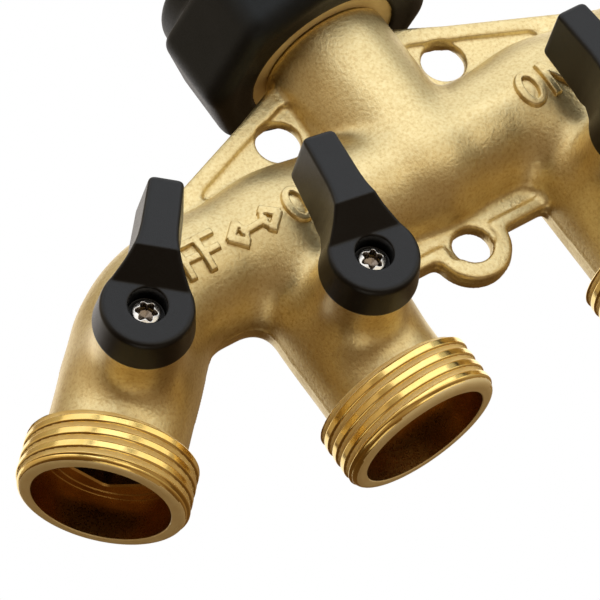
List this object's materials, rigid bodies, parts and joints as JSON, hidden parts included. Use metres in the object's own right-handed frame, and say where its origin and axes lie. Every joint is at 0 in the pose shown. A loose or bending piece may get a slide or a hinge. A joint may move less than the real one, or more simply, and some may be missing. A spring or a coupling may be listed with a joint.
{
  "type": "hose splitter",
  "caption": "Brass garden hose splitter: a swivel inlet nut feeds a row of threaded outlets on a cast pipe, each with its own lever ball valve.",
  "frame": {"origin": "centre of the inlet nut's mouth, in the plane of its rim", "axes": "+X along the main pipe, from outlet 1 to outlet 4; +Z out of the inlet, up towards the tap; the levers face -Y"},
  "size_m": [0.1684, 0.0499, 0.0876],
  "materials": {
    "cast_brass": "bead-blasted casting",
    "turned_brass": "bright turned",
    "black_plastic": "fine satin grain",
    "grip_rubber": "satin rubber over the nut",
    "seal_rubber": "smooth black rubber",
    "steel": "polished",
    "screw_steel": "zinc plated",
    "seat_plastic": "smooth white"
  },
  "bodies": {
    "manifold": {"body_casting": "cast_brass", "snap_ring": "steel", "inner_seat_1": "seat_plastic", "outer_seat_1": "seat_plastic", "seat_retainer_1": "turned_brass", "inner_seat_2": "seat_plastic", "outer_seat_2": "seat_plastic", "seat_retainer_2": "turned_brass", "inner_seat_3": "seat_plastic", "outer_seat_3": "seat_plastic", "seat_retainer_3": "turned_brass", "inner_seat_4": "seat_plastic", "outer_seat_4": "seat_plastic", "seat_retainer_4": "turned_brass"},
    "inlet_swivel": {"swivel_nut": "turned_brass", "nut_grip": "grip_rubber", "inlet_washer": "seal_rubber"},
    "valve_1": {"lever_1": "black_plastic", "lever_screw_1": "screw_steel", "valve_stem_1": "turned_brass", "stem_o_ring_1a": "seal_rubber", "stem_o_ring_1b": "seal_rubber", "valve_ball_1": "steel"},
    "valve_2": {"lever_2": "black_plastic", "lever_screw_2": "screw_steel", "valve_stem_2": "turned_brass", "stem_o_ring_2a": "seal_rubber", "stem_o_ring_2b": "seal_rubber", "valve_ball_2": "steel"},
    "valve_3": {"lever_3": "black_plastic", "lever_screw_3": "screw_steel", "valve_stem_3": "turned_brass", "stem_o_ring_3a": "seal_rubber", "stem_o_ring_3b": "seal_rubber", "valve_ball_3": "steel"},
    "valve_4": {"lever_4": "black_plastic", "lever_screw_4": "screw_steel", "valve_stem_4": "turned_brass", "stem_o_ring_4a": "seal_rubber", "stem_o_ring_4b": "seal_rubber", "valve_ball_4": "steel"}
  },
  "joints": [
    {"name": "nut_swivel", "type": "hinge", "parent": "manifold", "child": "inlet_swivel", "pos_m": [0, 0, -0.0195], "axis": [0, 0, 1], "continuous": true},
    {"name": "lever_1_turn", "type": "hinge", "parent": "manifold", "child": "valve_1", "pos_m": [-0.0607, -0.0215, -0.0574], "axis": [0, -1, 0], "range_deg": [0, 90]},
    {"name": "lever_2_turn", "type": "hinge", "parent": "manifold", "child": "valve_2", "pos_m": [-0.026, -0.0215, -0.0664], "axis": [0, -1, 0], "range_deg": [0, 90]},
    {"name": "lever_3_turn", "type": "hinge", "parent": "manifold", "child": "valve_3", "pos_m": [0.026, -0.0215, -0.0664], "axis": [0, -1, 0], "range_deg": [-90, 0]},
    {"name": "lever_4_turn", "type": "hinge", "parent": "manifold", "child": "valve_4", "pos_m": [0.0607, -0.0215, -0.0574], "axis": [0, -1, 0], "range_deg": [-90, 0]}
  ]
}
